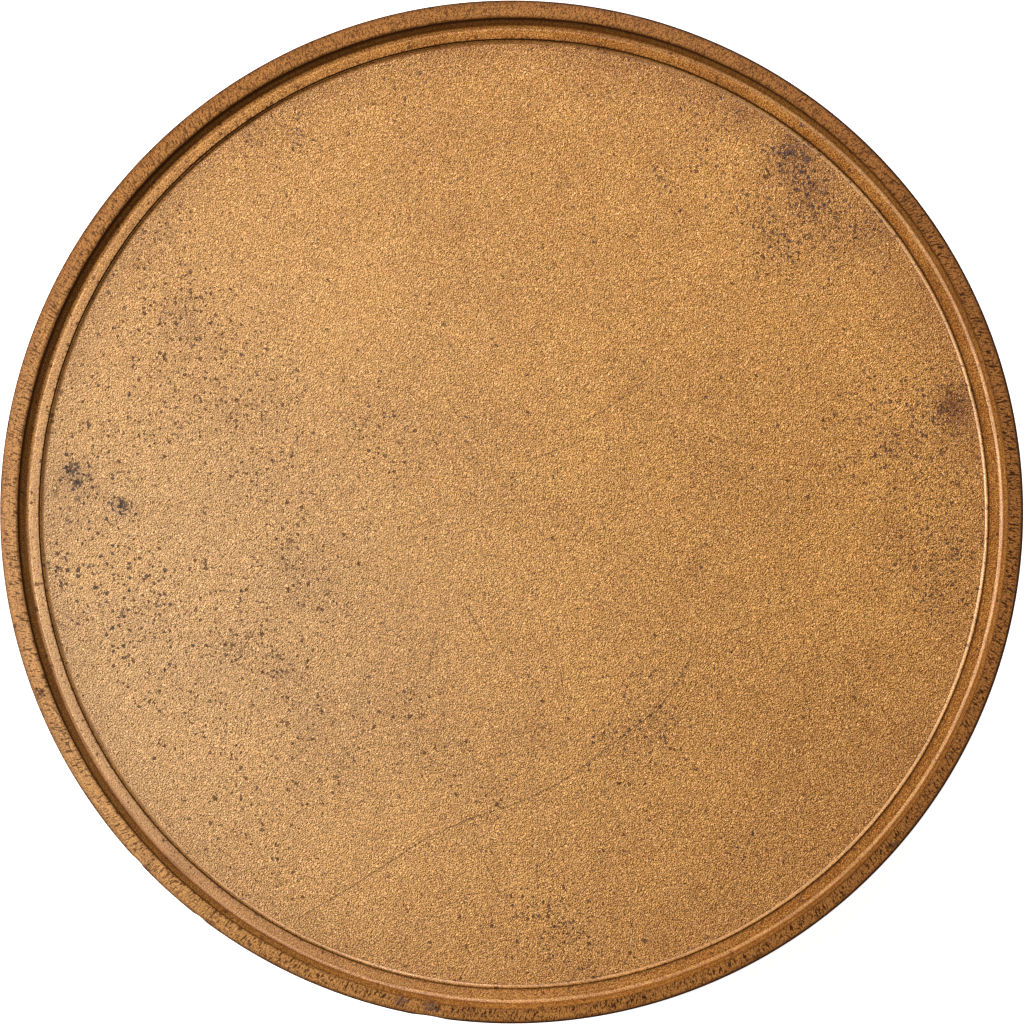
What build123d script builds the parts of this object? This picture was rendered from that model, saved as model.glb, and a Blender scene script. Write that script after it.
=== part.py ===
from build123d import *
from collections import namedtuple
import os

# A commemorative medal of the kind that is kept on a table: one struck bronze disc, 60 mm
# across, with a raised rim round a sunk bare field on each face and a plain turned edge.
# It lies on the rim of its reverse: +Z points up out of the obverse and +Y is the top of
# the obverse. The origin is the centre of the turned edge, on the surface it rests on.
# Lengths are in millimetres and angles in degrees.

os.makedirs("parts", exist_ok=True)

# The turned blank
diameter = 60.0
rim_thickness = 5.0
rim_fall = 0.12
shoulder_radius = 0.18
reverse_bevel = 0.15

# How far off the blank's centre the obverse was struck, to the right and towards the top
strike_right = 0.15
strike_up = -0.13

# The obverse moulding from the outer edge inwards: each member's width across
rim_width = 0.90
wall_run = 0.24
ledge_run = 0.08
cove_run = 0.30
band_width = 0.62
line_width = 0.09
step_run = 0.17

# The depth that each member of the obverse moulding loses on the way down to the field
wall_drop = 0.32
ledge_drop = 0.03
cove_drop = 0.20
line_depth = 0.05
step_drop = 0.18

# The reverse, turned plain
reverse_rim_width = 1.25
reverse_wall_run = 0.35
reverse_depth = 0.50

# The part of a short wall that its rounded foot takes up
foot_run_share = 0.76
foot_rise_share = 0.50

# Knocks in the obverse edge, at an angle counted from +X towards +Y
Knock = namedtuple("Knock", "angle length depth")
knocks = (
    Knock(angle=223.0, length=0.95, depth=0.07),
    Knock(angle=232.5, length=0.80, depth=0.09),
    Knock(angle=260.8, length=2.30, depth=0.07),
)

# How far the striking tool's section stands above the rim, so that it cuts clean through
tool_height = 0.64

# Radii of the obverse moulding round the centre of the strike
outer_radius = diameter / 2
arris_radius = outer_radius - rim_width
ledge_radius = arris_radius - wall_run
crease_radius = ledge_radius - ledge_run
cove_foot_radius = crease_radius - cove_run
line_outer_radius = cove_foot_radius - band_width
line_inner_radius = line_outer_radius - line_width
step_foot_radius = line_inner_radius - step_run

# Heights of the obverse moulding, counted from the top of the rim
wall_foot = -wall_drop
crease = wall_foot - ledge_drop
band = crease - cove_drop
field = band - step_drop

# Radii of the reverse, and the height of the edge's upper corner
reverse_arris_radius = outer_radius - reverse_rim_width
reverse_field_radius = reverse_arris_radius - reverse_wall_run
edge_top = rim_thickness - rim_fall


def short_wall(foot, top):
    """Draw a wall's section from a level foot to its top: a bend, then a straight flank."""
    run = top[0] - foot[0]
    rise = top[1] - foot[1]
    bend_end = (foot[0] + foot_run_share * run, foot[1] + foot_rise_share * rise)
    TangentArc(foot, bend_end, tangent=(1, 0))
    Line(bend_end, top)


strike_plane = Plane(
    origin=(strike_right, strike_up, rim_thickness),
    x_dir=(1, 0, 0),
    z_dir=(0, -1, 0),
)
strike_axis = Axis((strike_right, strike_up, 0), (0, 0, 1))

with BuildPart() as medal:
    # The blank with its turned edge, its sloping obverse rim and its sunk reverse
    with BuildSketch(Plane.XZ):
        with BuildLine():
            FilletPolyline(
                (outer_radius, reverse_bevel),
                (outer_radius, edge_top),
                (arris_radius, rim_thickness),
                radius=shoulder_radius,
            )
            Polyline(
                (arris_radius, rim_thickness),
                (0, rim_thickness),
                (0, reverse_depth),
                (reverse_field_radius, reverse_depth),
            )
            short_wall((reverse_field_radius, reverse_depth), (reverse_arris_radius, 0))
            Polyline(
                (reverse_arris_radius, 0),
                (outer_radius - reverse_bevel, 0),
                (outer_radius, reverse_bevel),
            )
        make_face()
    revolve(axis=Axis.Z)

    # The strike, which sinks the obverse field and its moulding into the blank
    with BuildSketch(strike_plane):
        with BuildLine():
            tool_top = (arris_radius + wall_run * tool_height / wall_drop, tool_height)
            Polyline(tool_top, (0, tool_height), (0, field), (step_foot_radius, field))
            short_wall((step_foot_radius, field), (line_inner_radius, band))
            Polyline(
                (line_inner_radius, band),
                ((line_inner_radius + line_outer_radius) / 2, band - line_depth),
                (line_outer_radius, band),
                (cove_foot_radius, band),
            )
            TangentArc((cove_foot_radius, band), (crease_radius, crease), tangent=(1, 0))
            Polyline((crease_radius, crease), (ledge_radius, wall_foot), tool_top)
        make_face()
    revolve(axis=strike_axis, mode=Mode.SUBTRACT)

    # The knocks, each a shallow round dent in the upper corner of the edge
    for knock in knocks:
        knock_radius = knock.length**2 / (8 * knock.depth)
        reach = outer_radius - knock.depth + knock_radius
        with Locations(Vector(reach, 0, edge_top).rotate(Axis.Z, knock.angle)):
            Sphere(knock_radius, mode=Mode.SUBTRACT)

medal.part.label = "medal"
export_step(medal.part, "parts/medal.step")
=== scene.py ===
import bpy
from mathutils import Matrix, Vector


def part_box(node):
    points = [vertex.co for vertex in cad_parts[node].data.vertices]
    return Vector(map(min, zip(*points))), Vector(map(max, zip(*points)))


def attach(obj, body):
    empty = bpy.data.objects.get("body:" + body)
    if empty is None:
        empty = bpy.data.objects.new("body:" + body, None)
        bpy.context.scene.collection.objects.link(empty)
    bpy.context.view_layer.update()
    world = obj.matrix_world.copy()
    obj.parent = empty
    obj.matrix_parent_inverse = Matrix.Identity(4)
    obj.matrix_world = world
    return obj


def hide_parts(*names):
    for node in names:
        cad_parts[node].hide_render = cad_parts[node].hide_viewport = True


bl_info = {
    "name": "Commemorative Medal",
    "version": (1, 0, 0),
    "blender": (4, 5, 0),
    "location": "View3D > Sidebar > Medal",
    "description": "Builds a worn, sandblasted bronze medal and a plain studio for it",
    "category": "Object",
}

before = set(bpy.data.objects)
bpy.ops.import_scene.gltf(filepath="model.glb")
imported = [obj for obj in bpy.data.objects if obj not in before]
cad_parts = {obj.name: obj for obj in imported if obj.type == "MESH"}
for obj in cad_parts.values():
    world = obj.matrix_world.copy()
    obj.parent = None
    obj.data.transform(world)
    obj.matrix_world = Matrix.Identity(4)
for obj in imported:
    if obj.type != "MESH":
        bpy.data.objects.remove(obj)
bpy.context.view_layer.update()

import math
from collections import namedtuple

import bpy
import numpy as np
from bpy.props import FloatProperty, FloatVectorProperty, IntProperty, PointerProperty
from mathutils import Vector, noise

MEDAL_LOW, MEDAL_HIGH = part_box("medal")
MM = 0.001

# The flaws are charted in pixels of the photograph, to the right and downwards from the middle of
# its first pixel: its side, the medal's centre in it, and the real width of a pixel
PHOTO_SIDE = 1024
MEDAL_RIGHT = 511.13
MEDAL_DOWN = 511.46
PIXEL = 0.05863 * MM


# Sizes, colours and studio settings


def length(name, description, millimetres):
    """Return a length that a user can change, shown in the scene's own unit."""
    return FloatProperty(
        name=name, description=description, default=millimetres * MM, unit="LENGTH", precision=5
    )


def degrees(name, description, value):
    """Return an angle that a user can change, from its value in degrees."""
    return FloatProperty(
        name=name, description=description, default=math.radians(value), subtype="ANGLE"
    )


def strength(name, description, value):
    """Return the strength of a light that a user can change."""
    return FloatProperty(name=name, description=description, default=value, min=0.0)


def colour(name, description, red, green, blue):
    """Return a colour that a user can change, in linear light."""
    return FloatVectorProperty(
        name=name,
        description=description,
        default=(red, green, blue),
        subtype="COLOR",
        size=3,
        min=0.0,
        max=1.0,
    )


class MedalSizes(bpy.types.PropertyGroup):
    """Sizes of the medal's members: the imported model's, some widths tuned to the photograph."""

    edge_radius: length(
        "Edge radius", "Radius of the turned edge", (MEDAL_HIGH[0] - MEDAL_LOW[0]) / 2 / MM
    )
    thickness: length(
        "Thickness", "From the reverse rim to the top of the obverse rim", MEDAL_HIGH[2] / MM
    )
    rim_width: length("Rim width", "Width of the obverse rim's land", 0.925)
    rim_fall: length("Rim fall", "How far the land slopes down to the edge", 0.12)
    shoulder: length("Shoulder", "Rounding of the edge's upper corner", 0.18)
    bevel: length("Reverse bevel", "Bevel of the edge's lower corner", 0.15)
    strike_right: length("Strike right", "How far right of centre the obverse was struck", 0.15)
    strike_up: length("Strike up", "How far above centre the obverse was struck", -0.13)
    wall_run: length("Wall run", "Width of the rim's inner wall, from above", 0.275)
    wall_drop: length("Wall drop", "Height of the rim's inner wall", 0.32)
    ledge_run: length("Ledge run", "Width of the ledge under the wall", 0.06)
    ledge_drop: length("Ledge drop", "Fall of the ledge under the wall", 0.05)
    cove_run: length("Cove run", "Width of the hollow at the wall's foot", 0.25)
    cove_drop: length("Cove drop", "Height of the hollow at the wall's foot", 0.18)
    band_width: length("Band width", "Width of the flat band inside the cove", 0.588)
    line_width: length("Line width", "Width of the fine ring line", 0.10)
    line_depth: length("Line depth", "Depth of the fine ring line", 0.08)
    step_run: length("Step run", "Width of the step down to the field", 0.17)
    step_drop: length("Step drop", "Height of the step down to the field", 0.18)
    slant: degrees("Slant", "Slope of the low flank at the foot of the cove and of the step", 22.0)
    reverse_rim: length("Reverse rim", "Width of the reverse's flat rim", 1.25)
    reverse_run: length("Reverse wall run", "Width of the reverse's wall, from below", 0.35)
    reverse_depth: length("Reverse depth", "Depth of the reverse's field", 0.50)
    corner: length("Corner", "Rounding of the struck corners", 0.035)
    unevenness: length("Unevenness", "Height of the field's gentle waves", 0.006)
    raggedness: length("Raggedness", "How far the worn corners stray", 0.030)
    sides: IntProperty(
        name="Sides", description="Faces round the rim", default=1024, min=64, max=1280
    )


class MedalFinish(bpy.types.PropertyGroup):
    """Colours and grain of the bronze."""

    bronze: colour("Bronze", "High grains of the blasted surface", 0.80, 0.400, 0.098)
    hollow: colour("Hollow bronze", "Hollows between the grains", 0.20, 0.058, 0.006)
    # The paler colour that the painted sheen and the painted highlights move towards
    painted_sheen_tint: colour("Pale bronze", "Dry, paler places of the field", 0.90, 0.60, 0.33)
    rim_brown: colour("Rim brown", "High grains of the rim's brown patina", 0.33, 0.128, 0.031)
    rim_hollow: colour("Rim hollow", "Hollows of the rim's brown patina", 0.080, 0.026, 0.005)
    # The same dark colour also stands for the painted shade of the wall, the line and the shoulder
    grime: colour("Grime", "Old dirt in the lines and corners", 0.034, 0.010, 0.002)
    tarnish: colour("Tarnish", "Blue-black tarnish spots", 0.058, 0.042, 0.043)
    stain: colour("Stain", "Brown stains and specks", 0.10, 0.035, 0.012)
    grain: length("Grain", "Width of one grain of tone", 0.055)
    pit: length("Pit", "Width of one pit of the blasted surface", 0.080)
    pit_depth: length("Pit depth", "Depth of one pit", 0.165)


class StageSettings(bpy.types.PropertyGroup):
    """The camera, the lights and the floor."""

    camera_height: length("Camera height", "From the medal's widest part up to the camera", 320.0)
    light_distance: length("Light distance", "From the medal to each light", 1000.0)
    light_size: length("Light size", "Side of each square light", 280.0)
    floor_side: length("Floor side", "Side of the square floor", 3000.0)
    light_rise: degrees("Light rise", "Height of both lights above the floor", 45.0)
    left_turn: degrees("Left light turn", "Side that it stands on, counted from the right", 180.0)
    left_power: strength("Left light power", "Power in watts", 11.65)
    upper_turn: degrees("Upper light turn", "Side that it stands on, counted from the right", 78.0)
    upper_power: strength("Upper light power", "Power in watts", 7.4)
    fill: strength("Fill", "Strength of the light from all round", 0.07)
    floor_glow: strength("Floor glow", "Light that the floor gives by itself", 0.95)


# The medal's section, ring by ring from the middle of the reverse to the middle of the obverse


# pull is 0 round the edge's centre and 1 round the centre of the strike, and lift is 1 where a ring
# follows the land's slope. rim, struck, grime, ragged, band, soot and dark say how far a ring has the
# rim's brown patina, is smooth metal and not blasted, holds old dirt (to which the painted shade of the
# wall and the shoulder is added later), strays where it is worn, takes the tone of the band, takes the
# shoulder's painted shade, and is dark as the wall is. wall says how far it takes the wall's dirt and
# painted shade, matte how little it shines, dots how much more thickly specks lie on it, edge how near it
# lies to the field's darker edge, foot how far it is dulled as the step is and painted a little lighter
# with it, and gleam how far a highlight is painted on it.
Ring = namedtuple(
    "Ring",
    "radius height sides pull lift rim struck grime ragged band soot dark wall matte dots edge foot gleam",
    defaults=(0.0,) * 15,
)

# How far the circle of the rim's inner corner is off centre, as a share of the strike's offset
ARRIS_PULL = 0.5

# How far the darker edge of the field reaches inwards
FIELD_EDGE_WIDTH = 2.6 * MM

# How far apart the rings of the two fields lie, and the fewest sides that they come down to
REVERSE_SPACING = 0.9 * MM
FIELD_SPACING = 0.45 * MM
FEWEST_SIDES = 32

# How many rings go up the turned edge, and how many of them, from below, have fewer sides
EDGE_RINGS = 9
COARSE_EDGE_RINGS = 4

# The part of a flank that the rounding of its corner takes up at most
LARGEST_ROUNDING = 0.45

# The part of a short wall that its rounded foot takes up
FOOT_RUN_SHARE = 0.76
FOOT_RISE_SHARE = 0.50


def bend(foot, top, steps=5):
    """Return points up the foot of a short wall: they start level and end in its flank."""
    run = (top[0] - foot[0]) * FOOT_RUN_SHARE
    rise = (top[1] - foot[1]) * FOOT_RISE_SHARE
    angle = 2 * math.atan2(abs(rise), run)
    radius = run / math.sin(angle)
    way = math.copysign(1.0, rise)
    points = []
    for step in range(steps + 1):
        turn = angle * step / steps
        out = foot[0] + radius * math.sin(turn)
        points.append((out, foot[1] + way * radius * (1 - math.cos(turn))))
    return points


def rounded(before, corner, after, radius, steps=3):
    """Return points that round off a corner between two straight flanks."""
    before, corner, after = (np.array(point) for point in (before, corner, after))
    start = corner + (before - corner) * min(LARGEST_ROUNDING, radius / np.linalg.norm(before - corner))
    end = corner + (after - corner) * min(LARGEST_ROUNDING, radius / np.linalg.norm(after - corner))
    points = []
    for step in range(steps + 1):
        share = step / steps
        near = start * (1 - share) + corner * share
        far = corner * (1 - share) + end * share
        points.append(tuple(near * (1 - share) + far * share))
    return points


def slanted(foot, top, slant, share, radius):
    """Return points up a flank that has a low slanted foot, which takes this share of its run."""
    run = (top[0] - foot[0]) * share
    knee = (foot[0] + run, foot[1] + run * math.tan(slant))
    level = (foot[0] - radius, foot[1])
    return rounded(level, foot, knee, radius, 2) + rounded(foot, knee, top, radius, 3)


def between(start, end, steps):
    """Return the points that part a straight stretch, without its two ends."""
    start, end = np.array(start), np.array(end)
    return [tuple(start + (end - start) * step / steps) for step in range(1, steps)]


def disc_rings(radius, height, sides, spacing, **looks):
    """Return a flat face's rings from its middle outwards, with fewer sides near its middle."""
    rings = [Ring(radius, height, sides, **looks)]
    row_sides = sides
    reach = radius - spacing
    while reach > 2 * spacing:
        if row_sides > FEWEST_SIDES and reach < radius * row_sides / sides / 2:
            row_sides //= 2
        rings.append(Ring(reach, height, row_sides, **looks))
        reach -= spacing
    rings.append(Ring(0.0, height, 1, **looks))
    return rings[::-1]


def reverse_rings(size):
    """Return the rings of the reverse and of the edge's bevel."""
    sides = size.sides // 4
    arris = (size.edge_radius - size.reverse_rim, 0.0)
    foot = (arris[0] - size.reverse_run, size.reverse_depth)
    bevel_foot = (size.edge_radius - size.bevel, 0.0)
    bevel_top = (size.edge_radius, size.bevel)
    flank = bend(foot, arris)
    rings = disc_rings(foot[0], foot[1], sides, REVERSE_SPACING)
    rings += [Ring(*point, sides, struck=1.0, grime=0.3) for point in flank[1:]]
    lip = rounded(flank[-1], arris, bevel_foot, size.corner)
    lip += between(arris, bevel_foot, 4)
    lip += rounded(arris, bevel_foot, bevel_top, size.corner)
    lip += rounded(bevel_foot, bevel_top, (size.edge_radius, size.thickness), size.corner)
    rings += [Ring(*point, sides, rim=1.4, struck=1.0, grime=0.3, matte=0.8) for point in lip]
    return rings


def edge_rings(size):
    """Return the rings up the turned edge and over its rounded shoulder."""
    turn = math.pi / 2 - math.atan2(size.rim_fall, size.rim_width)
    shoulder_foot = size.thickness - size.rim_fall - size.shoulder * math.tan(turn / 2)
    rings = []
    heights = np.linspace(size.bevel, shoulder_foot, EDGE_RINGS + 2)[1:-1]
    look = Ring(size.edge_radius, 0.0, size.sides // 2, rim=2.0, struck=1.0, grime=0.45, matte=0.8)
    for row, height in enumerate(heights):
        sides = size.sides // 4 if row < COARSE_EDGE_RINGS else size.sides // 2
        rings.append(look._replace(height=height, sides=sides))
    steps = 6
    for step in range(steps + 1):
        angle = turn * step / steps
        out = size.edge_radius - size.shoulder * (1 - math.cos(angle))
        height = shoulder_foot + size.shoulder * math.sin(angle)
        look = Ring(out, height, size.sides, rim=1.2, struck=1.0, matte=0.9)
        # The shoulder is darkened by painted shade, most where it faces away from the lights
        rings.append(look._replace(soot=1.5 * math.sin(math.pi * (0.2 + 0.7 * step / steps))))
    return rings


def obverse_rings(size):
    """Return the rings over the land of the obverse rim and down its moulding to the field."""
    sides = size.sides
    land_start = (size.edge_radius - size.shoulder, size.thickness)
    arris = (size.edge_radius - size.rim_width, size.thickness)
    ledge = (arris[0] - size.wall_run, arris[1] - size.wall_drop)
    crease = (ledge[0] - size.ledge_run, ledge[1] - size.ledge_drop)
    cove_foot = (crease[0] - size.cove_run, crease[1] - size.cove_drop)
    line_out = (cove_foot[0] - size.band_width, cove_foot[1])
    line_low = (line_out[0] - size.line_width / 2, line_out[1] - size.line_depth)
    line_in = (line_out[0] - size.line_width, line_out[1])
    step_foot = (line_in[0] - size.step_run, line_in[1] - size.step_drop)
    lip = size.line_width / 5
    rings = []
    for point in between(land_start, arris, 6):
        share = (land_start[0] - point[0]) / (land_start[0] - arris[0])
        look = Ring(*point, sides, pull=ARRIS_PULL * share, lift=1.0, rim=1.0, struck=1.0)
        rings.append(look._replace(ragged=share, matte=0.85))
    for point in rounded(land_start, arris, ledge, size.corner):
        look = Ring(*point, sides, pull=ARRIS_PULL, lift=1.0, rim=1.0, struck=1.0)
        rings.append(look._replace(ragged=1.0, grime=0.30, matte=1.0, wall=0.15))
    # Down the wall, the wall weight sets how much dirt and painted shade it takes; the painted shade is
    # darkest where the wall faces away from the lights
    for point in between(arris, ledge, 6):
        share = (arris[0] - point[0]) / size.wall_run
        rise = 1 - share
        pull = ARRIS_PULL + (1 - ARRIS_PULL) * share
        look = Ring(*point, sides, pull, lift=rise, rim=0.3 * rise, struck=1.0, ragged=rise)
        look = look._replace(dark=0.35 + 0.9 * (2 * share - 1) ** 2 * rise, matte=0.9)
        rings.append(look._replace(grime=0.2 * rise**3, wall=1.0 + 2.0 * rise**3))
    for point in rounded(arris, ledge, crease, lip):
        look = Ring(*point, sides, pull=1.0, struck=1.0, dark=0.5, matte=0.9, wall=1.0)
        rings.append(look)
    look = Ring(*crease, sides, pull=1.0, struck=1.0, grime=0.35, dark=0.6, matte=1.0, wall=0.5)
    rings.append(look)
    for point in slanted(cove_foot, crease, size.slant, 0.7, size.corner)[::-1]:
        share = max(0.0, (point[0] - cove_foot[0]) / size.cove_run)
        look = Ring(*point, sides, pull=1.0, struck=1.0, band=1.0, foot=0.35 + 0.65 * share)
        # A highlight is painted on the cove's low flank, by the angle round the rim
        look = look._replace(gleam=4 * share * (1 - share), matte=0.45 + 0.45 * share)
        rings.append(look._replace(dark=0.5 * share**3, wall=0.8 * share**2))
    flat = Ring(*cove_foot, sides, pull=1.0, struck=0.6, band=0.85, matte=0.95)
    for point in between(cove_foot, line_out, 5):
        near = (cove_foot[0] - point[0]) / size.band_width
        look = flat._replace(radius=point[0], dots=0.20 * near**3, band=0.85 + 0.3 * near**2)
        rings.append(look._replace(grime=0.12 * near**2, wall=0.15 * near**2))
    for out, dirt in ((2 * lip, 0.12), (lip, 0.25)):
        look = flat._replace(radius=line_out[0] + out, dots=0.22, band=1.15)
        rings.append(look._replace(grime=dirt, wall=0.15))
    worn = flat._replace(struck=1.0, ragged=0.7, matte=1.0)
    for point in rounded(cove_foot, line_out, line_low, lip):
        rings.append(worn._replace(radius=point[0], height=point[1], grime=0.60, wall=0.5))
    look = worn._replace(radius=line_low[0], height=line_low[1], band=0.0)
    rings.append(look._replace(grime=0.85, wall=0.6))
    for point in rounded(line_low, line_in, step_foot, lip):
        look = worn._replace(radius=point[0], height=point[1], band=0.0)
        rings.append(look._replace(grime=0.35, wall=0.6, foot=1.0))
    for point in slanted(step_foot, line_in, size.slant, 0.75, size.corner)[::-1]:
        share = max(0.0, (point[0] - step_foot[0]) / size.step_run)
        # A highlight is painted on the step's flank too
        look = Ring(*point, sides, pull=1.0, struck=1.0, dark=0.35, gleam=1.0, matte=0.4)
        rings.append(look._replace(wall=0.3 * share**2, edge=1.0 - share, foot=share**0.7))
    field_edge = (step_foot[0] - size.corner, step_foot[1])
    field = disc_rings(*field_edge, sides // 2, FIELD_SPACING, pull=1.0)[::-1]
    rings.append(field[0]._replace(sides=sides, dots=0.04, edge=1.0))
    for ring in field[1:]:
        near = max(0.0, 1 - (field_edge[0] - ring.radius) / FIELD_EDGE_WIDTH)
        rings.append(ring._replace(edge=near**1.5))
    return rings


# Dents and wear


# How often the worn corners stray in a turn, slowly and fast
SLOW_STRAY = 60
FAST_STRAY = 300

# Widths of the land's small dents and of the slow and the quick waves of the two fields
DENT_WIDTH = 0.9 * MM
SLOW_WAVE = 7 * MM
QUICK_WAVE = 2.4 * MM

# How far from the edge the waves of the fields end, and over what width they fade
WAVES_END = 2.6 * MM
WAVES_FADE = 2 * MM

Knock = namedtuple("Knock", "angle length depth")

# Knocks in the obverse edge, at an angle counted from the right and upwards
KNOCKS = (
    Knock(angle=math.radians(223.0), length=0.95 * MM, depth=0.07 * MM),
    Knock(angle=math.radians(232.5), length=0.80 * MM, depth=0.09 * MM),
    Knock(angle=math.radians(260.8), length=2.30 * MM, depth=0.07 * MM),
)


def knocked(out, angle, height, size):
    """Return how far out a point stays once the knocks have dented the edge there."""
    for knock in KNOCKS:
        dent = knock.length**2 / (8 * knock.depth)
        away = size.edge_radius - knock.depth + dent
        aside = away * math.sin(angle - knock.angle)
        rise = height - (size.thickness - size.rim_fall)
        reach = dent**2 - aside**2 - rise**2
        if reach > 0 and math.cos(angle - knock.angle) > 0:
            out = min(out, away * math.cos(angle - knock.angle) - math.sqrt(reach))
    return out


def wander(angle, waves, seed):
    """Return a smooth noise round the medal that has about so many waves in a turn."""
    reach = waves / 4
    return noise.noise(Vector((reach * math.cos(angle), reach * math.sin(angle), seed)))


def ripple(x, y, width, seed):
    """Return a smooth noise over the field with waves of about this width."""
    return noise.noise(Vector((x / width, y / width, seed)))


def worn_point(ring, angle, size, field_height):
    """Return the place of one vertex of a ring, with the medal's wear and dents."""
    stray = 0.7 * wander(angle, SLOW_STRAY, 1.5) + 0.5 * wander(angle, FAST_STRAY, 3.5)
    out = ring.radius + ring.ragged * size.raggedness * stray
    x = out * math.cos(angle) + ring.pull * size.strike_right
    y = out * math.sin(angle) + ring.pull * size.strike_up
    away = math.hypot(x, y)
    arris = size.edge_radius - size.rim_width
    height = ring.height - ring.lift * max(0.0, away - arris) * size.rim_fall / size.rim_width
    if ring.rim and ring.struck and height > size.thickness / 2:
        turn = math.atan2(y, x)
        dents = 0.5 + 0.5 * ripple(x, y, DENT_WIDTH, 7.5)
        height -= ring.lift * size.unevenness * dents
        inner = min(knocked(away, turn, height, size), size.edge_radius)
        x *= inner / away
        y *= inner / away
    if ring.height in (field_height, size.reverse_depth):
        fade = min(1.0, max(0.0, size.edge_radius - WAVES_END - away) / WAVES_FADE)
        waves = ripple(x, y, SLOW_WAVE, 2.5) + 0.4 * ripple(x, y, QUICK_WAVE, 5.5)
        height += fade * size.unevenness * waves
    return (x, y, height)


# The patina and painted light round the rim, and the flaws of the obverse, charted


PatinaAndPaintedLight = namedtuple("PatinaAndPaintedLight", "angle brown chatter soot band wall edge foot gleam")

# Round the rim, at an angle in degrees from the right and upwards: how brown the land is, how thick its
# dark strokes are, how dark the painted shade on the shoulder is, how dark the band is, how much dirt and
# painted shade the wall takes (the painted shade darkest where the wall faces away from the lights), how
# dark the edge of the field is, how dull the cove and the step are (which also paints them a little
# lighter), and how strong the highlight painted on them is
RIM_PATINA_AND_PAINTED_LIGHT = (
    PatinaAndPaintedLight(0, 1.0, 2.0, 1.0, 0.48, 0.25, 0.14, 0.0, 0.45),
    PatinaAndPaintedLight(45, 1.0, 0.9, 0.9, 0.53, 0.50, 0.26, 0.1, 0.80),
    PatinaAndPaintedLight(90, 0.9, 0.5, 0.6, 0.38, 0.68, 0.24, 0.35, 0.10),
    PatinaAndPaintedLight(135, 0.85, 0.9, 0.5, 0.36, 0.76, 0.22, 0.6, 0.00),
    PatinaAndPaintedLight(180, 0.70, 1.0, 0.4, 0.50, 0.64, 0.26, 0.65, 0.00),
    PatinaAndPaintedLight(225, 0.52, 1.0, 0.5, 0.80, 0.44, 0.28, 0.5, 0.20),
    PatinaAndPaintedLight(270, 0.8, 1.3, 0.8, 0.38, 0.05, 0.09, 0.3, 0.15),
    PatinaAndPaintedLight(315, 0.9, 1.2, 1.0, 0.44, 0.42, 0.12, 0.1, 0.65),
)

# How much smoother the field is rubbed at its top than at its middle
RUBBED_TOP = 0.40

# How much lighter the dull places of the cove and the step are painted, as painted light that falls mostly
# on their shaded side, how much lighter the painted highlights make them and how much painted sheen these
# bring, and how well the dull places keep the painted sheen away
DULL_PAINTED_LIGHT = 0.1
HIGHLIGHT_LIGHTENS = 0.25
HIGHLIGHT_SHEEN = 0.45
DULL_CLEARS = 1.5

# How dense tarnish and brown specks are outside the clouds
LEAST_TARNISH = 0.003
LEAST_BROWN = 0.030

Cloud = namedtuple("Cloud", "right down reach tarnish brown shade haze", defaults=(0.0,) * 4)

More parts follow.
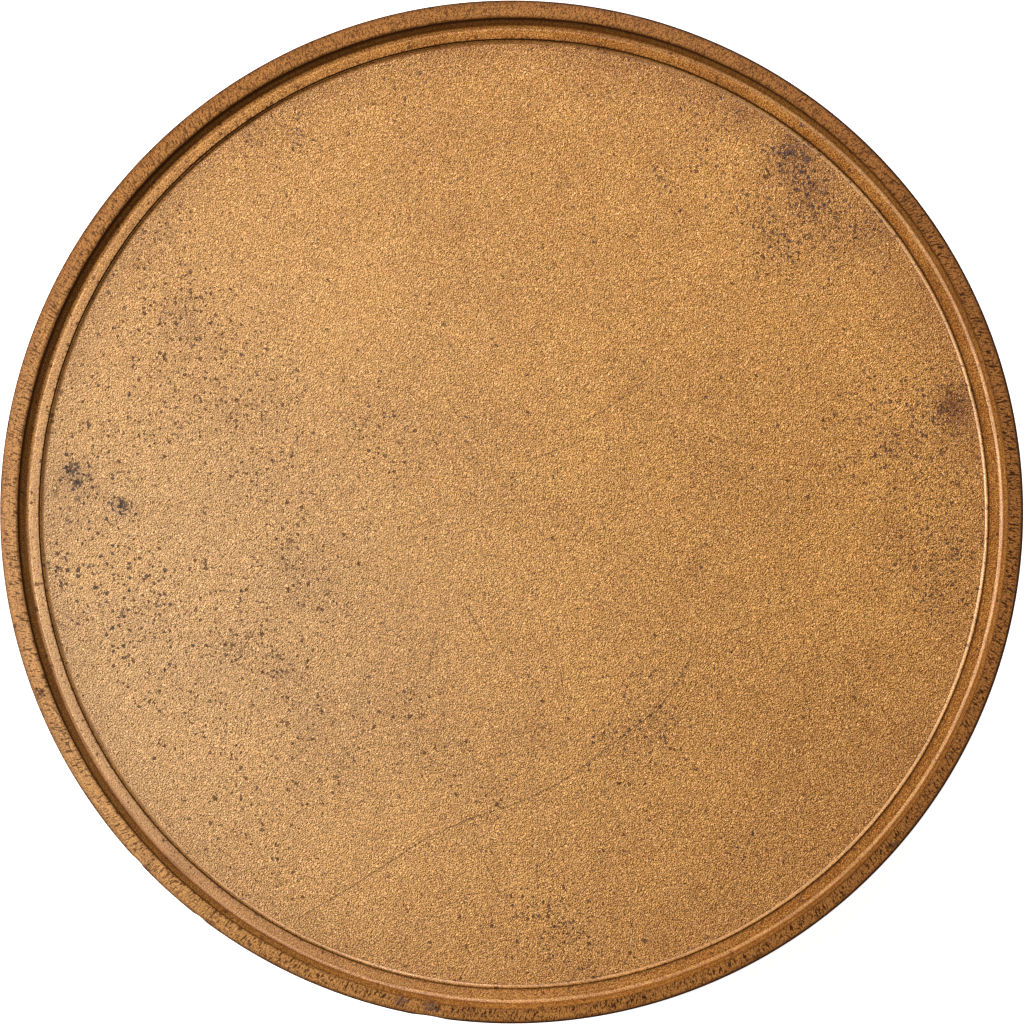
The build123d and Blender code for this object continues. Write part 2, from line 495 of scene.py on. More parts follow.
# Soft patches with more specks, in the columns of Cloud: how far right and down, the reach, how dense
# tarnish and brown specks are there, how much darker the tone is, and how much painted sheen lies there
SPECKLED = (
    # Far and wide: painted sheen over the left of the field, on the side of the left light
    (110, 620, 400, 0, 0, 0, 0.42),
    # Middle
    (388, 425, 38, 0, 0.15, 0.08), (335, 600, 22, 0, 0.1, 0.11), (480, 450, 48, 0, 0.03, 0.07),
    (568, 455, 30, 0, 0.02, -0.14), (690, 572, 20, 0, 0.04, 0.1), (370, 620, 32, 0, 0.04, 0.08),
    # Right
    (866, 436, 44, 0, 0.2, 0.05), (895, 440, 18, 0, 0.2, 0.14), (928, 408, 40, 0.01, 0.45, 0.08),
    (953, 405, 18, 0.4, 0.5, 0.45), (942, 484, 36, 0, 0.28, 0.04), (915, 515, 26, 0, 0.1, -0.12),
    (934, 548, 40, 0.04, 0.4, 0.07), (944, 602, 30, 0.04, 0.26, 0.08),
    # Upper right
    (800, 205, 58, 0.05, 0.45, 0.04), (778, 240, 24, 0.03, 0.35, 0.12), (793, 153, 18, 0.7, 0.2, 0.4),
    (811, 188, 16, 0.5, 0.2, 0.28), (745, 115, 14, 0, 0.1, 0.25), (735, 160, 50, 0, 0.16, 0.03),
    (870, 230, 26, 0, 0.22, 0.12), (850, 215, 30, 0, 0.2, 0.04), (668, 170, 24, 0, 0.12),
    (708, 92, 28, 0, 0.1, 0.08), (690, 420, 70, 0, 0.02, 0.05), (770, 400, 34, 0, 0.02, 0.05),
    # Top
    (405, 100, 32, 0, 0.14), (612, 62, 36, 0, 0.08, 0.05),
    # Upper left
    (160, 290, 45, 0.06, 0.3, 0.03), (160, 225, 28, 0.03, 0.25, 0.03), (222, 345, 55, 0.02, 0.2, 0.03),
    (180, 318, 16, 0.03, 0.1, 0.24), (270, 118, 38, 0, 0.22, 0.08), (290, 140, 14, 0, 0.2, 0.14),
    # Left
    (96, 430, 56, 0.05, 0.11), (170, 410, 40, 0, 0.18), (215, 420, 40, 0, 0.18, 0.04),
    (265, 410, 28, 0, 0.14, 0.11), (240, 480, 26, 0, 0.14, 0.11), (285, 470, 40, 0, 0.16, 0.04),
    (74, 476, 15, 0.9, 0, 0.42), (120, 506, 14, 0.8, 0, 0.35), (97, 491, 15, 0.35), (64, 518, 15, 0.32),
    (57, 570, 14, 0.5), (94, 540, 50, 0.06, 0.08), (122, 606, 62, 0.14, 0.14),
    (155, 604, 12, 0.4, 0, 0.14), (245, 612, 78, 0.03, 0.14), (296, 568, 38, 0, 0.12, 0.2),
    # Lower left
    (165, 672, 45, 0.03, 0.14, 0.03), (240, 647, 20, 0, 0.2, 0.14), (278, 673, 22, 0, 0.2, 0.14),
    (230, 752, 58, 0, 0.1), (335, 748, 44, 0, 0.1, 0.08), (310, 730, 18, 0, 0.1, 0.14),
    (340, 765, 18, 0, 0.12, 0.14), (395, 690, 45, 0, 0.04, 0.12), (270, 852, 42, 0, 0.14),
    (230, 805, 22, 0, 0.05, 0.07), (300, 690, 30, 0, 0.03, 0.12),
    # Bottom
    (430, 735, 40, 0, 0.04, 0.14), (484, 788, 34, 0, 0.12, 0.1), (520, 730, 30, 0, 0.03, 0.1),
    (556, 926, 44, 0.02, 0.38), (450, 895, 14, 0, 0.1, 0.11), (590, 950, 60, 0, 0.08, 0.07),
    (400, 940, 32, 0, 0.04, 0.07),
    # Lower right
    (640, 728, 46, 0, 0.24, 0.07), (660, 720, 16, 0, 0.1, 0.11), (745, 846, 22, 0, 0.2, 0.1),
    (800, 845, 36, 0, 0.08, 0.11), (700, 660, 34, 0, 0.02, 0.05), (850, 720, 62, 0, 0.02, 0.07),
)

# Soft patches of tone alone: how far right and down, the reach, and how much darker
TONED = (
    # Far and wide; the patches at the right and the lower right are painted shade, darker away from the
    # left light
    (500, 80, 200, 0.16), (500, 960, 170, 0.08), (820, 820, 240, 0.14), (900, 480, 200, 0.08),
    # Middle
    (378, 456, 26, -0.14), (650, 470, 22, -0.08), (560, 590, 42, -0.1), (585, 690, 34, -0.08),
    (495, 495, 22, 0.08), (390, 435, 22, 0.06), (585, 503, 30, 0.05), (520, 372, 24, -0.1),
    # Right
    (780, 600, 44, -0.07), (905, 620, 30, -0.1), (882, 420, 32, -0.12), (957, 416, 26, 0.14),
    (897, 530, 22, 0.12), (948, 640, 34, 0.07), (720, 573, 22, 0.07), (916, 374, 24, -0.15),
    (921, 414, 15, -0.12), (927, 510, 17, -0.12), (860, 462, 30, -0.08), (860, 590, 60, -0.05),
    # Upper right
    (725, 150, 16, -0.08), (925, 325, 44, 0.16), (830, 240, 34, 0.12), (715, 110, 40, 0.09),
    (700, 166, 16, -0.1), (790, 182, 36, 0.16), (817, 214, 16, 0.12), (880, 272, 34, 0.09),
    (800, 236, 20, -0.09),
    # Top
    (455, 222, 12, 0.08), (425, 170, 50, -0.04), (570, 290, 62, -0.02), (655, 90, 24, 0.1),
    (530, 115, 60, -0.05),
    # Upper left
    (340, 330, 42, -0.14), (345, 262, 36, -0.1), (220, 308, 24, -0.08), (282, 130, 22, -0.1),
    (185, 194, 26, 0.1), (176, 326, 20, 0.08), (268, 166, 22, 0.08), (240, 165, 28, -0.06),
    # Left
    (140, 622, 22, 0.1), (100, 385, 15, -0.11), (88, 566, 28, -0.18), (145, 565, 22, -0.14),
    (66, 635, 30, 0.14), (298, 590, 36, 0.08), (63, 510, 26, 0.1), (106, 497, 28, 0.1),
    (210, 590, 26, -0.06),
    # Lower left
    (236, 757, 22, -0.14), (213, 664, 20, 0.1), (350, 690, 20, 0.08), (170, 775, 22, 0.08),
    (208, 666, 26, 0.07),
    # Bottom
    (420, 840, 60, -0.07), (520, 890, 20, -0.08), (480, 755, 16, -0.07), (532, 906, 24, -0.12),
    # Lower right
    (910, 745, 34, 0.12), (730, 900, 46, 0.06), (860, 805, 30, 0.06), (690, 770, 34, -0.07),
    (700, 932, 50, 0.05),
)

# Single blotches: how far right and down, the size, how dark, and 1 for blue-black tarnish to 0 for
# a brown stain
SPOTS = (
    # Upper right
    (790, 151, 6.4, 0.72, 0.8), (784, 157, 3, 0.6, 0.8), (806, 158, 5, 0.68, 0.8),
    (766, 176, 3, 0.65, 0.2), (787, 171, 2.2, 0.6, 0.6), (802, 172, 2.2, 0.6, 0.6),
    (812, 186, 3.8, 0.55, 0.7), (825, 192, 2.6, 0.6, 0.6), (810, 206, 3.2, 0.6, 0.6),
    (814, 217, 2.8, 0.65, 0.5), (809, 234, 3, 0.6, 0.3), (783, 254, 3, 0.65, 0.2),
    (659, 177, 2.8, 0.6, 0.1),
    # Left
    (70, 469, 7, 0.72, 0.9), (76, 481, 6.4, 0.72, 0.9), (87, 475, 4, 0.55, 0.9),
    (77, 499, 3.2, 0.6, 0.8), (54, 492, 2.8, 0.5, 0.8), (123, 505, 6.4, 0.72, 0.9),
    (67, 519, 3, 0.55, 0.8), (52, 525, 2, 0.55, 0.8), (58, 568, 3.4, 0.6, 0.5),
    (65.5, 584, 2.6, 0.65, 0.5),
    # Upper left
    (171, 339, 2.6, 0.6, 0.6), (191, 345, 2.4, 0.6, 0.6),
    # Lower left
    (98, 605, 2.4, 0.6, 0.8), (121, 614, 3, 0.65, 0.9), (157, 605, 3.8, 0.65, 0.8),
    (99, 644, 2.8, 0.6, 0.6), (239, 650, 3.4, 0.65, 0.3), (246, 636, 2.6, 0.6, 0.3),
    (286, 672, 3, 0.6, 0.3), (272, 677, 2.6, 0.65, 0.3), (289, 540, 3.2, 0.65, 0.2),
    # Top
    (299, 143, 3, 0.65, 0.4), (248, 135, 2.8, 0.6, 0.4), (294, 109, 2.2, 0.6, 0.5),
    # Middle and bottom
    (399, 442, 2.4, 0.55, 0.1), (343, 763, 3.6, 0.6, 0.2), (334, 776, 2.4, 0.6, 0.2),
    (319, 780, 2.6, 0.65, 0.2), (398, 765, 2.4, 0.55, 0.2), (387, 836, 2.2, 0.55, 0.2),
    (212, 797, 2.6, 0.6, 0.4), (616, 732, 2.4, 0.6, 0.3), (801, 899, 2.4, 0.6, 0.5),
    (894.5, 843, 3, 0.85, 0.4), (545, 666, 1.6, 0.85, 0.2), (697, 455, 2.8, 0.6, 0.1),
    # Right
    (945, 409, 5.4, 0.65, 0.3), (953, 403, 3.4, 0.6, 0.3), (949, 391, 2.8, 0.6, 0.2),
    (918, 441, 2.8, 0.6, 0.2), (941, 452, 3.2, 0.65, 0.2), (957, 484, 2.6, 0.6, 0.2),
    (921, 483, 2.4, 0.6, 0.2), (952, 550, 2.6, 0.65, 0.3),
    # On the rim
    (402, 1000, 6, 0.55, 0.8), (430, 1006, 7, 0.55, 0.8), (39, 693, 4, 0.75, 0.3),
    (870, 153, 3.4, 0.6, 0.3), (146, 868, 6, 0.6, 0.3), (208, 922, 6, 0.6, 0.3),
    # Faint ones
    (252, 187, 3, 0.35, 0), (768, 172, 3, 0.35, 0),
)

# Scratches: the width, how dark, and then how far right and down each of their points is
SCRATCHES = (
    (1.3, 0.55, (298, 918), (347, 889), (396, 858), (426, 838), (468, 819), (512, 805), (558, 784),
     (577, 771), (659, 708), (672, 690), (690, 659), (693, 647)),
    (1.1, 0.35, (693, 647), (768, 617), (912, 563)),
    (1.2, 0.5, (527, 461), (582, 440)),
    (1.2, 0.5, (584, 421), (608, 407), (631, 391), (654, 372)),
    (1.2, 0.5, (612, 365), (620, 346)),
    (1.2, 0.5, (634, 321), (633, 329)),
    (1.2, 0.55, (339, 465), (370, 413)),
    (1.2, 0.5, (374, 391), (383, 383)),
    (1.2, 0.5, (290, 374), (296, 367)),
    (1.2, 0.5, (295, 396), (313, 384)),
    (1.2, 0.5, (465, 605), (496, 656)),
    (1.2, 0.5, (436, 633), (427, 675)),
    (1.2, 0.45, (413, 682), (410, 692)),
    (1.3, 0.55, (255, 629), (242, 648)),
    (1.2, 0.5, (561, 673), (564, 700)),
    (1.2, 0.45, (375, 833), (398, 838)),
    (1.2, 0.5, (473, 833), (484, 861), (500, 895)),
    (1.4, 0.6, (449, 183), (463, 176)),
    (1.2, 0.45, (616, 225), (644, 249)),
    (1.2, 0.45, (661, 178), (682, 186)),
    (1.2, 0.45, (548, 270), (555, 262)),
    (1.2, 0.45, (515, 296), (523, 292)),
    (1.2, 0.5, (62, 482), (56, 489), (54, 497)),
    (1.6, 0.8, (36, 688), (42, 696)),
    (1.4, 0.7, (39, 687), (45, 695)),
    (1.2, 0.6, (50, 704), (60, 716)),
    (1.2, 0.6, (52, 728), (66, 732)),
    (1.2, 0.6, (62, 730), (66, 738)),
    (1.2, 0.6, (68, 742), (72, 752)),
    (1.2, 0.6, (73, 757), (79, 770)),
    (1.2, 0.6, (460, 1008), (468, 1015)),
    (1.2, 0.6, (474, 1011), (478, 1016)),
    (1.2, 0.6, (482, 1012), (488, 1018)),
    (1.3, 0.7, (885, 174), (897, 183)),
)

Mark = namedtuple("Mark", "start end half_width depth blue")

# The layers that the marks are shared out to, and how far apart those of one layer lie if they can
SPOT_LAYERS = ("spots_a", "spots_b", "spots_c")
SCRATCH_LAYERS = ("cuts_a", "cuts_b")
MARK_ROOM = 0.5 * MM


def placed(right, down):
    """Return the place on the medal of a pixel of the photograph, looking straight down."""
    return ((right - MEDAL_RIGHT) * PIXEL, (MEDAL_DOWN - down) * PIXEL)


def spot_marks():
    """Return the charted spots as marks without length."""
    marks = []
    for right, down, size, depth, blue in SPOTS:
        middle = placed(right, down)
        marks.append(Mark(middle, middle, size * PIXEL, depth, blue))
    return marks


def scratch_marks():
    """Return the charted scratches as straight marks from point to point."""
    marks = []
    for width, depth, *points in SCRATCHES:
        for start, end in zip(points, points[1:]):
            marks.append(Mark(placed(*start), placed(*end), width / 2 * PIXEL, depth, 0.0))
    return marks


def mark_coordinates(points, mark):
    """Return each point's distance across and along a mark from its middle, and half its length."""
    start, end = np.array(mark.start), np.array(mark.end)
    reach = np.linalg.norm(end - start)
    way = (end - start) / reach if reach > 0 else np.array((1.0, 0.0))
    offset = points - (start + end) / 2
    along = offset @ way
    across = offset @ np.array((-way[1], way[0]))
    return across, along, reach / 2


def mark_distance(points, mark):
    """Return each point's distance from the outline of a mark."""
    across, along, half = mark_coordinates(points, mark)
    return np.hypot(across, np.maximum(np.abs(along) - half, 0.0)) - mark.half_width


def sort_marks(marks, names):
    """Return each layer's name and its marks, shared out so that those of a layer lie apart."""
    layers = [[] for _ in names]
    for mark in marks:
        ends = np.linspace(mark.start, mark.end, 9)
        gaps = []
        for layer in layers:
            gap = min((mark_distance(ends, other).min() for other in layer), default=1.0)
            gaps.append(gap - mark.half_width)
        free = [number for number, gap in enumerate(gaps) if gap > MARK_ROOM]
        layers[free[0] if free else int(np.argmax(gaps))].append(mark)
    return zip(names, layers)


# The mesh


def bridge(low, low_sides, high, high_sides):
    """Return the faces between two rings of vertices, of equal count or one twice the other."""
    faces = []
    if low_sides == 1 or high_sides == 1:
        sides = max(low_sides, high_sides)
        for side in range(sides):
            after = (side + 1) % sides
            if low_sides == 1:
                faces.append((low, high + after, high + side)[::-1])
            else:
                faces.append((low + side, low + after, high))
        return faces
    for side in range(min(low_sides, high_sides)):
        after = (side + 1) % min(low_sides, high_sides)
        if low_sides == high_sides:
            faces.append((low + side, low + after, high + after, high + side))
            continue
        twice = 2 * side
        last = (twice + 2) % max(low_sides, high_sides)
        if low_sides > high_sides:
            faces.append((low + twice, low + twice + 1, high + side))
            faces.append((low + twice + 1, high + after, high + side))
            faces.append((low + twice + 1, low + last, high + after))
        else:
            faces.append((low + side, high + twice + 1, high + twice))
            faces.append((low + side, low + after, high + twice + 1))
            faces.append((low + after, high + last, high + twice + 1))
    return faces


def medal_mesh(rings, size):
    """Return the medal's closed mesh and, for each vertex, the number of its ring."""
    field_height = rings[-1].height
    points = []
    faces = []
    owner = []
    start = 0
    for number, ring in enumerate(rings):
        for side in range(ring.sides):
            angle = 2 * math.pi * side / ring.sides
            points.append(worn_point(ring, angle, size, field_height))
        owner += [number] * ring.sides
        if number:
            before = rings[number - 1].sides
            faces += bridge(start - before, before, start, ring.sides)
        start += ring.sides
    mesh = bpy.data.meshes.new("medal_body")
    mesh.from_pydata(points, [], faces)
    mesh.validate()
    return mesh, np.array(owner)


def vertex_places(mesh):
    """Return the place of each vertex."""
    places = np.empty(len(mesh.vertices) * 3)
    mesh.vertices.foreach_get("co", places)
    return places.reshape(-1, 3)


def vertex_looks(mesh, rings, owner):
    """Store on each vertex how its ring looks and how dense the charted clouds are there."""
    places = vertex_places(mesh)
    upper = places[:, 2] > MEDAL_HIGH[2] / 2
    turn = np.degrees(np.arctan2(places[:, 1], places[:, 0]))
    looks = {}
    for name in Ring._fields[4:]:
        looks[name] = np.array([getattr(ring, name) for ring in rings])[owner]
    looks.pop("ragged")
    patina = {}
    for name in PatinaAndPaintedLight._fields[1:]:
        values = [getattr(row, name) for row in RIM_PATINA_AND_PAINTED_LIGHT]
        patina[name] = np.interp(turn, [row.angle for row in RIM_PATINA_AND_PAINTED_LIGHT], values, period=360)
    looks["chatter"] = looks["rim"] * looks.pop("lift") * patina["chatter"]
    looks["rim"] = np.minimum(1.0, looks["rim"] * patina["brown"])
    # The shoulder's painted shade is added to the dirt
    looks["grime"] = looks["grime"] + looks.pop("soot") * patina["soot"]
    # The wall's dirt and painted shade, by the angle round the rim, is added too
    wall_shade_weights = looks.pop("wall")
    looks["grime"] = np.minimum(1.0, looks["grime"] + wall_shade_weights * patina["wall"])
    looks["tarnish"] = LEAST_TARNISH * upper
    looks["brown"] = (LEAST_BROWN + looks.pop("dots")) * upper
    looks["shade"] = looks.pop("band") * patina["band"] + looks.pop("dark")
    looks["shade"] += looks.pop("edge") * patina["edge"]
    foot = looks.pop("foot") * patina["foot"]
    # Painted light: the dull cove and step, mostly on the shaded side, are made a little lighter
    looks["shade"] -= DULL_PAINTED_LIGHT * foot
    looks["matte"] = np.maximum(looks["matte"], foot)
    # The painted highlight makes its places lighter and paler
    gleam = looks.pop("gleam") * patina["gleam"]
    looks["shade"] -= HIGHLIGHT_LIGHTENS * gleam
    looks["haze"] = HIGHLIGHT_SHEEN * gleam
    rubbed = RUBBED_TOP * np.clip(places[:, 1] / MEDAL_HIGH[1], 0.0, 1.0)
    looks["struck"] = np.maximum(looks["struck"], rubbed * upper)
    clouds = [Cloud(*row) for row in SPECKLED]
    clouds += [Cloud(right, down, reach, shade=shade) for right, down, reach, shade in TONED]
    for cloud in clouds:
        middle = placed(cloud.right, cloud.down)
        away = np.hypot(places[:, 0] - middle[0], places[:, 1] - middle[1])
        veil = upper * np.exp(-((away / (cloud.reach * PIXEL)) ** 2))
        for name in ("tarnish", "brown", "shade", "haze"):
            looks[name] += veil * getattr(cloud, name)
    # No painted sheen where the cove and the step are dull or where the wall's dirt and painted shade lie
    looks["haze"] *= 1 - np.minimum(1.0, DULL_CLEARS * foot + wall_shade_weights)
    for name, values in looks.items():
        layer = mesh.attributes.new(name, "FLOAT", "POINT")
        layer.data.foreach_set("value", values.astype(np.float32))


def face_corners(mesh):
    """Return each corner's vertex, and each face's count of corners and middle."""
    corners = np.empty(len(mesh.loops), dtype=np.int64)
    mesh.loops.foreach_get("vertex_index", corners)
    totals = np.empty(len(mesh.polygons), dtype=np.int64)
    mesh.polygons.foreach_get("loop_total", totals)
    middles = np.empty(len(mesh.polygons) * 3)
    mesh.polygons.foreach_get("center", middles)
    return corners, totals, middles.reshape(-1, 3)


# Where a corner lies that has no mark near it, in half widths of a mark
FAR_AWAY = 99.0


def mark_layer(mesh, name, marks):
    """Store on each corner of the obverse where it lies on its face's nearest mark."""
    places = vertex_places(mesh)
    corners, totals, middles = face_corners(mesh)
    face_of = np.repeat(np.arange(len(totals)), totals)
    nearest = np.zeros(len(middles), dtype=np.int64)
    gap = np.full(len(middles), np.inf)
    for number, mark in enumerate(marks):
        new_gap = mark_distance(middles[:, :2], mark)
        closer = new_gap < gap
        nearest[closer] = number
        gap[closer] = new_gap[closer]
    upper = middles[:, 2] > MEDAL_HIGH[2] / 2
    where = np.full((len(corners), 3), FAR_AWAY)
    kind = np.zeros((len(corners), 3))
    for number, mark in enumerate(marks):
        chosen = ((nearest == number) & upper)[face_of]
        across, along, half = mark_coordinates(places[corners[chosen], :2], mark)
        where[chosen, 0] = across / mark.half_width
        where[chosen, 1] = along / mark.half_width
        where[chosen, 2] = half / mark.half_width
        kind[chosen, :2] = (mark.depth, mark.blue)
    for suffix, values in (("where", where), ("kind", kind)):
        layer = mesh.attributes.new(f"{name}_{suffix}", "FLOAT_VECTOR", "CORNER")
        layer.data.foreach_set("vector", values.astype(np.float32).ravel())


# The baked map's layout: the obverse fills most of it, with the reverse and the edge beside it
OBVERSE_SHARE = 0.405
REVERSE_SHARE = 0.175
EDGE_STRIPS = 4
EDGE_STRIP_LENGTH = 0.46
EDGE_STRIP_HEIGHT = 0.055
MAP_MARGIN = 0.005

# The last rings of the reverse, which lie with the edge in the baked map
BEVEL_RINGS = 5


def bake_layout(mesh, rings, owner, size):
    """Lay the medal's faces out flat, without overlaps, for baked maps."""
    layer = mesh.uv_layers.new(name="OFBake")
    obverse_start = len(reverse_rings(size)) + len(edge_rings(size)) - 1
    reverse_end = len(reverse_rings(size)) - BEVEL_RINGS
    low = rings[reverse_end].height
    tall = rings[obverse_start].height - low
    corners, totals, middles = face_corners(mesh)
    face_of = np.repeat(np.arange(len(totals)), totals)
    starts = np.concatenate(([0], np.cumsum(totals)[:-1]))
    first_ring = np.minimum.reduceat(owner[corners], starts)[face_of]
    middles = middles[face_of]
    spots = vertex_places(mesh)[corners]
    uv = np.zeros((len(corners), 2))
    reach = size.edge_radius
    obverse = first_ring >= obverse_start
    reverse = first_ring < reverse_end
    uv[obverse] = OBVERSE_SHARE + MAP_MARGIN + spots[obverse, :2] / reach * OBVERSE_SHARE
    mirrored = spots[reverse, :2] * (-1.0, 1.0)
    uv[reverse] = 1.0 - REVERSE_SHARE - MAP_MARGIN + mirrored / reach * REVERSE_SHARE
    side = ~(obverse | reverse)
    quarter = math.pi / 2
    turn = np.arctan2(middles[side, 1], middles[side, 0]) % (2 * math.pi)
    strip = np.minimum((turn // quarter).astype(int), EDGE_STRIPS - 1)
    angle = np.arctan2(spots[side, 1], spots[side, 0])
    middle_angle = (strip + 0.5) * quarter
    share = ((angle - middle_angle + math.pi) % (2 * math.pi) - math.pi) / quarter + 0.5
    rise = (spots[side, 2] - low) / tall
    pair, which = strip // 2, strip % 2
    run = 2 * MAP_MARGIN + share * EDGE_STRIP_LENGTH
    strip_room = EDGE_STRIP_HEIGHT + 2 * MAP_MARGIN
    climb = 1.0 - (which + 1) * strip_room + rise * EDGE_STRIP_HEIGHT
    uv[side, 0] = np.where(pair == 0, run, climb)
    uv[side, 1] = np.where(pair == 0, climb, run)
    layer.data.foreach_set("uv", uv.astype(np.float32).ravel())


# The bronze


class Wiring:
    """Adds nodes to a material. Each input is a number, a colour or another node's output."""

    def __init__(self, name):
        self.material = bpy.data.materials.new(name)
        self.material.use_nodes = True
        self.nodes = self.material.node_tree.nodes
        self.links = self.material.node_tree.links
        self.nodes.clear()

    def feed(self, socket, value):
        """Give an input its number, its opaque colour or its link."""
        if isinstance(value, bpy.types.NodeSocket):
            self.links.new(value, socket)
        elif socket.type == "RGBA":
            socket.default_value = (*value, 1.0)
        else:
            socket.default_value = value

    def node(self, kind, inputs=None, output=0, **settings):
        """Add a node with its settings and inputs, and return one of its outputs."""
        node = self.nodes.new(kind)
        node.location = (180 * (len(self.nodes) % 24), -240 * (len(self.nodes) // 24))
        for name, value in settings.items():
            setattr(node, name, value)
        for name, value in (inputs or {}).items():
            self.feed(node.inputs[name], value)
        return node.outputs[output] if node.outputs else None

    def maths(self, operation, *values):
        """Add a Math node."""
        return self.node("ShaderNodeMath", dict(enumerate(values)), operation=operation)

    def times(self, first, second):
        """Multiply two values."""
        return self.maths("MULTIPLY", first, second)

    def plus(self, first, second):
        """Add two values."""
        return self.maths("ADD", first, second)

    def most(self, first, *others):
        """Return the largest of some values."""
        for other in others:
            first = self.maths("MAXIMUM", first, other)
        return first

    def vector(self, operation, first, second, output=0):
        """Add a Vector Math node."""
        inputs = {0: first, 1: second}
        return self.node("ShaderNodeVectorMath", inputs, output, operation=operation)

    def smooth(self, value, low, high, start=0.0, end=1.0):
        """Go smoothly from start to end as the value goes from low to high."""
        inputs = {"Value": value, 1: low, 2: high, 3: start, 4: end}
        return self.node("ShaderNodeMapRange", inputs, interpolation_type="SMOOTHSTEP")

    def linear(self, value, low, high, start, end):
        """Go evenly from start to end as the value goes from low to high."""
        inputs = {"Value": value, 1: low, 2: high, 3: start, 4: end}
        return self.node("ShaderNodeMapRange", inputs)

    def mix(self, share, first, second, blend="MIX"):
        """Mix two colours."""
        inputs = {0: share, 6: first, 7: second}
        return self.node("ShaderNodeMix", inputs, 2, data_type="RGBA", blend_type=blend)

    def noise(self, place, width, detail=0.0, roughness=0.5, twist=0.0, output=0):
        """Add a noise whose grains have about this width."""
        inputs = {
            "Vector": place,
            "Scale": 1 / width,
            "Detail": detail,
            "Roughness": roughness,
            "Distortion": twist,
        }
        return self.node("ShaderNodeTexNoise", inputs, output)

    def attribute(self, name, output=2):
        """Read a number, or with output 1 a vector, that is stored on the mesh."""
        return self.node("ShaderNodeAttribute", output=output, attribute_name=name)

    def split(self, vector):
        """Return a vector's three parts."""
        node = self.nodes.new("ShaderNodeSeparateXYZ")
        self.feed(node.inputs[0], vector)
        return node.outputs[0], node.outputs[1], node.outputs[2]


def specks(wire, place, width, density, largest, ragged):
    """Return a mask of small ragged specks, of which a share as large as the density shows."""
    cells = wire.nodes.new("ShaderNodeTexVoronoi")
    cells.voronoi_dimensions = "2D"
    wire.feed(cells.inputs["Vector"], place)
    cells.inputs["Scale"].default_value = 1 / width
    chance, size, _ = wire.split(cells.outputs["Color"])
    shown = wire.smooth(wire.maths("SUBTRACT", density, chance), 0.0, 0.03)
    reach = wire.linear(wire.times(size, size), 0.0, 1.0, largest * 0.45, largest)
    excess = wire.maths("SUBTRACT", wire.plus(cells.outputs["Distance"], ragged), reach)
    return wire.times(shown, wire.smooth(excess, -0.08, 0.04, 1.0, 0.0))


def charted(wire, name, rough_edge, wobble):
    """Return how far a layer's nearest mark covers a place, and how blue it is."""
    across, along, half = wire.split(wire.attribute(f"{name}_where", 1))
    depth, blue, _ = wire.split(wire.attribute(f"{name}_kind", 1))
    past = wire.maths("SUBTRACT", wire.maths("ABSOLUTE", along), half)
    past = wire.most(past, 0.0)
    squares = wire.plus(wire.times(across, across), wire.times(past, past))
    distance = wire.maths("SQRT", squares)
    distance = wire.plus(distance, wire.times(wobble, rough_edge))
    return wire.times(wire.smooth(distance, 0.45, 1.25, 1.0, 0.0), depth), blue


def round_noise(wire, turn, out, waves, width, detail=0.0):
    """Return a noise with this many waves in a radian and waves of this width outwards."""
    high = wire.node("ShaderNodeCombineXYZ", {2: wire.times(out, 1 / width)})
    place = wire.vector("ADD", wire.vector("MULTIPLY", turn, (waves, waves, 0.0)), high)
    return wire.noise(place, 1.0, detail)


# How far the strokes across the land lean over
STROKE_LEAN = 0.4

# Turns the grain out of the way of the noise's own grid
GRAIN_TURN = (0.5, 0.7, 0.3)

# Widths of the coarse grain and of the small and the large patches of tone
COARSE_GRAIN = 0.16 * MM
SMALL_PATCH = 0.8 * MM
LARGE_PATCH = 3.5 * MM

# Round the medal: the waves in a radian, and the width outwards, of the drawn grain, of the strokes
# and of the fine rings
DRAWN_GRAIN = (461.3, 0.09 * MM)
STROKES = (251.7, 0.32 * MM)
FINE_RINGS = (9.3, 0.055 * MM)

# How far apart the specks of each kind lie where they are densest
BROWN_SPACING = 0.30 * MM
PEPPER_SPACING = 0.15 * MM
TARNISH_SPACING = 0.34 * MM

# What the colour is multiplied by in the ruddy patches
RUDDY = (1.0, 0.86, 0.70)

# The blasted surface's noises, and the places where they are read, as they are and turned askew
Grains = namedtuple("Grains", "place askew grain pits coarse small_patch patch")


def blasted_grains(wire, finish):
    """Return the noises of the blasted surface, from its grain to its slow changes."""
    place = wire.node("ShaderNodeTexCoord", output=3)
    turned = {"Vector": place, "Rotation": GRAIN_TURN}
    askew = wire.node("ShaderNodeVectorRotate", turned, rotation_type="EULER_XYZ")
    return Grains(
        place=place,
        askew=askew,
        grain=wire.noise(askew, finish.grain),
        pits=wire.noise(askew, finish.pit),
        coarse=wire.noise(askew, COARSE_GRAIN),
        small_patch=wire.noise(place, SMALL_PATCH, 1.0),
        patch=wire.noise(place, LARGE_PATCH, 2.0),
    )


def drawn_grains(wire, place, size):
    """Return the noises round the medal: drawn grain, strokes that lean, and fine rings."""
    flat = wire.vector("MULTIPLY", place, (1.0, 1.0, 0.0))
    out = wire.vector("LENGTH", flat, (0.0, 0.0, 0.0), 1)
    out = wire.plus(out, wire.split(place)[2])
    turn = wire.vector("NORMALIZE", flat, (0.0, 0.0, 0.0))
    slide = wire.times(out, STROKE_LEAN / size.edge_radius)
    across = wire.vector("CROSS_PRODUCT", (0.0, 0.0, 1.0), turn)
    skewed = wire.node("ShaderNodeVectorMath", {0: across, 3: slide}, operation="SCALE")
    leaning = wire.vector("ADD", turn, skewed)
    drawn = round_noise(wire, turn, out, *DRAWN_GRAIN)
    strokes = round_noise(wire, leaning, out, *STROKES, 1.0)
    rings = round_noise(wire, turn, out, *FINE_RINGS)
    return drawn, strokes, rings


